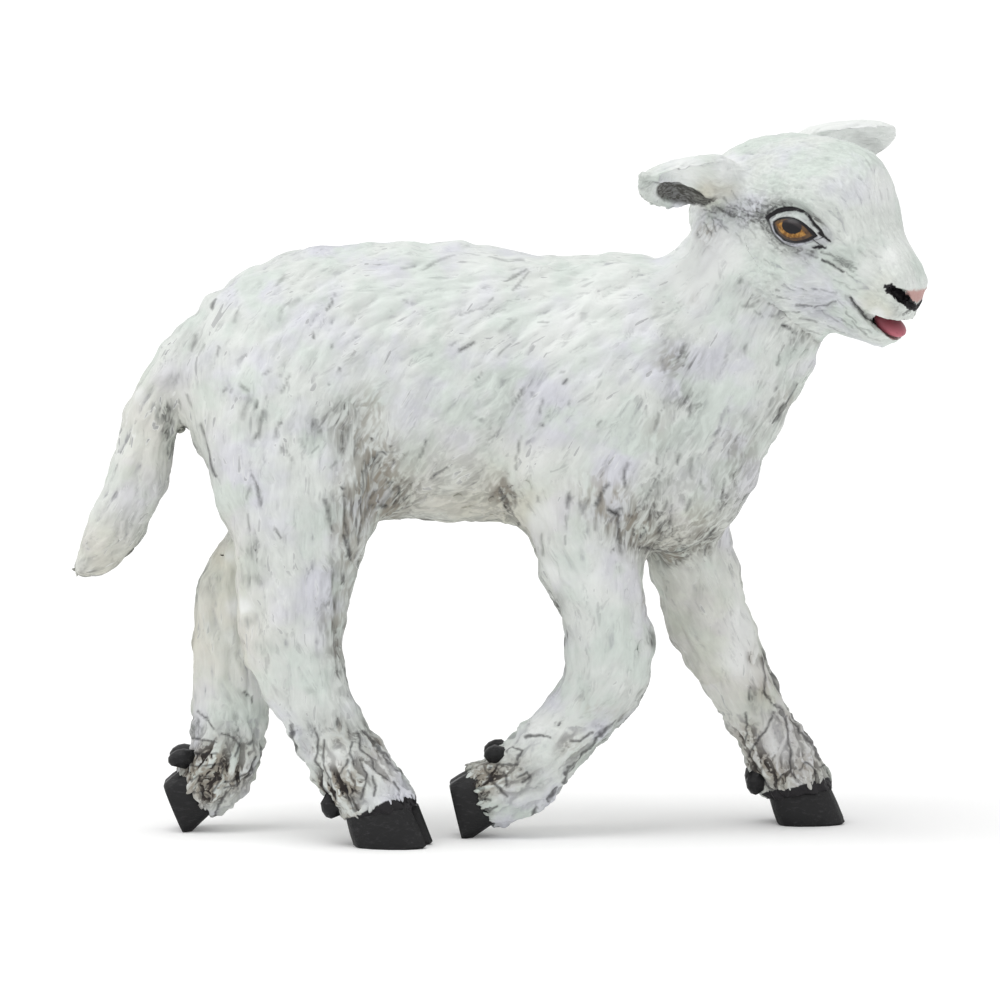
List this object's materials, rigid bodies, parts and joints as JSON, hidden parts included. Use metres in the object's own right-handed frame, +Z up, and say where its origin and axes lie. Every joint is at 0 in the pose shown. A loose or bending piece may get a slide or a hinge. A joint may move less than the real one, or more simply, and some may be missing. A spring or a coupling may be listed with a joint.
{
  "type": "toy farm animal figure",
  "caption": "Walking lamb figure with a sculpted fleece, head turned to the side, curled ears, hanging tail, bent foreleg and cloven hooves.",
  "frame": {"origin": "middle of the figure's bounding box, on the floor that the hooves stand on", "axes": "+X towards the nose along the length of the figure, +Y towards the animal's left, +Z up"},
  "size_m": [0.0696, 0.0174, 0.0584],
  "materials": {
    "fleece": "matte hand-painted white with grey and umber wash",
    "horn": "satin near-black paint",
    "eye": "gloss varnish over amber and black paint",
    "tongue": "satin pink paint"
  },
  "bodies": {
    "root": {"head": "fleece", "left_ear": "fleece", "left_eye": "eye", "left_fore_inner_claw": "horn", "left_fore_inner_dewclaw": "horn", "left_fore_leg": "fleece", "left_fore_outer_claw": "horn", "left_fore_outer_dewclaw": "horn", "left_hind_inner_claw": "horn", "left_hind_inner_dewclaw": "horn", "left_hind_leg": "fleece", "left_hind_outer_claw": "horn", "left_hind_outer_dewclaw": "horn", "right_ear": "fleece", "right_eye": "eye", "right_fore_inner_claw": "horn", "right_fore_inner_dewclaw": "horn", "right_fore_leg": "fleece", "right_fore_outer_claw": "horn", "right_fore_outer_dewclaw": "horn", "right_hind_inner_claw": "horn", "right_hind_inner_dewclaw": "horn", "right_hind_leg": "fleece", "right_hind_outer_claw": "horn", "right_hind_outer_dewclaw": "horn", "tail": "fleece", "tongue": "tongue", "torso": "fleece"}
  },
  "joints": []
}
